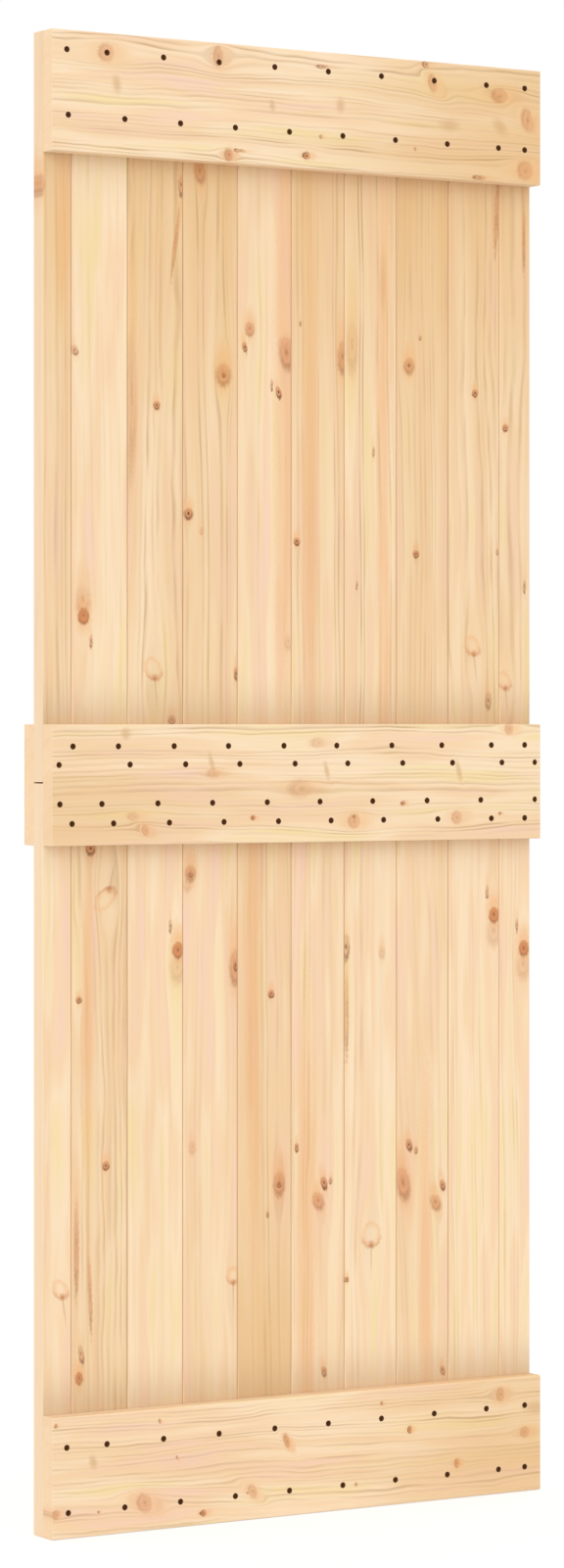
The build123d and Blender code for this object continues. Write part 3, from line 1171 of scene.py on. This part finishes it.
def make_screw(reach, threaded):
    """One screw on the y axis, with the face of the ledge at y = 0 and its point at y = reach."""
    bm = bmesh.new()
    neck = HEAD_SINK + HEAD_RADIUS - SHANK_RADIUS + HEAD_RIM
    thread_start = reach - threaded
    point_start = reach - POINT_LENGTH
    outline = [
        (0, HEAD_SINK + HEAD_DISH), (HEAD_RADIUS * 0.7, HEAD_SINK + HEAD_DISH * 0.6),
        (HEAD_RADIUS - 0.12 * MM, HEAD_SINK), (HEAD_RADIUS, HEAD_SINK + 0.08 * MM),
        (HEAD_RADIUS, HEAD_SINK + HEAD_RIM), (SHANK_RADIUS, neck), (SHANK_RADIUS, thread_start),
        (CORE_RADIUS, thread_start + THREAD_RUN_IN), (CORE_RADIUS, point_start), (0, reach),
    ]
    turned(bm, outline, SCREW_SIDES, (0, 0))
    screw = finish_mesh(bm, "one_screw")
    arm = (RECESS_REACH * 2, RECESS_WIDTH)
    cut_away(screw, [recess_cutter(*arm), recess_cutter(*reversed(arm))])
    bm = bmesh.new()
    bm.from_mesh(screw.data)
    bpy.data.objects.remove(screw)
    start = thread_start + RIDGE_START
    turns = (point_start - start) / THREAD_PITCH
    root = CORE_RADIUS - THREAD_ROOT
    corners = [
        bm.verts.new((root, start - THREAD_HALF_WIDTH, 0)),
        bm.verts.new((SHANK_RADIUS, start, 0)),
        bm.verts.new((root, start + THREAD_HALF_WIDTH, 0)),
    ]
    ridge = bm.faces.new(corners)
    steps = int(turns * THREAD_STEPS)
    bmesh.ops.spin(
        bm, geom=[ridge] + list(ridge.edges) + corners, cent=(0, 0, 0), axis=(0, 1, 0),
        dvec=(0, THREAD_PITCH / THREAD_STEPS, 0), angle=math.tau * steps / THREAD_STEPS, steps=steps,
        use_merge=False, use_duplicate=False,
    )
    bmesh.ops.recalc_face_normals(bm, faces=bm.faces)
    return bm


SCREW_REACH = {"top": 45 * MM, "bottom": 45 * MM, "middle": 70 * MM}
THREADED = {"top": 26 * MM, "bottom": 26 * MM, "middle": 40 * MM}


def make_screws(ledge_name):
    node = LEDGE_SCREWS[ledge_name]
    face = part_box(node)[0].y - HEAD_SINK
    one = make_screw(SCREW_REACH[ledge_name], THREADED[ledge_name])
    pattern = bpy.data.meshes.new("screw_pattern")
    one.to_mesh(pattern)
    one.free()
    turns = random.Random(node)
    bm = bmesh.new()
    for x, z in places[ledge_name]:
        before = len(bm.verts)
        bm.from_mesh(pattern)
        bm.verts.ensure_lookup_table()
        fresh = bm.verts[before:]
        turn = Matrix.Rotation(turns.uniform(0, math.tau), 4, "Y")
        bmesh.ops.transform(bm, matrix=Matrix.Translation((x, face, z)) @ turn, verts=fresh)
    bpy.data.meshes.remove(pattern)
    screws = add_object(bm, node + "_turned")
    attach(screws, "root")
    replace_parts(screws, node)
    return screws


screw_groups = [make_screws(ledge_name) for ledge_name in LEDGE_SCREWS]
for group in screw_groups:
    print(group.name, len(group.data.polygons), "faces")

# %% Finish the screws
BURNT_BROWN = paint(74, 38, 3)
WORN_BROWN = paint(104, 60, 16)
SPECKLE = 0.9 * MM
PATCH = 4 * MM
COATING_RELIEF = 0.05 * MM


def make_screw_finish():
    """Dark brown coating over steel, thinner and warmer in patches."""
    material = bpy.data.materials.new("burnt_brown_screw")
    tree = empty_tree(material)
    coordinates = tree.nodes.new("ShaderNodeTexCoord")
    x, y, z = parts(tree, coordinates.outputs["Object"])
    speckle = noise(tree, vector(tree, x / SPECKLE, y / SPECKLE, z / SPECKLE), detail=3)
    patchy = noise(tree, vector(tree, x / PATCH, y / PATCH, z / PATCH))
    wear = (speckle + patchy * 0.8).ease(0.05, 0.45)
    colour = mix_colours(tree, wear, BURNT_BROWN, WORN_BROWN)
    dull = {"Specular IOR Level": 0.12}
    coat(tree, colour, speckle * 0.2 + 0.46, speckle, COATING_RELIEF, 0.4, **dull)
    return material


screw_finish = make_screw_finish()
for group in screw_groups:
    group.data.materials.clear()
    group.data.materials.append(screw_finish)
print("screw finish:", screw_finish.name)
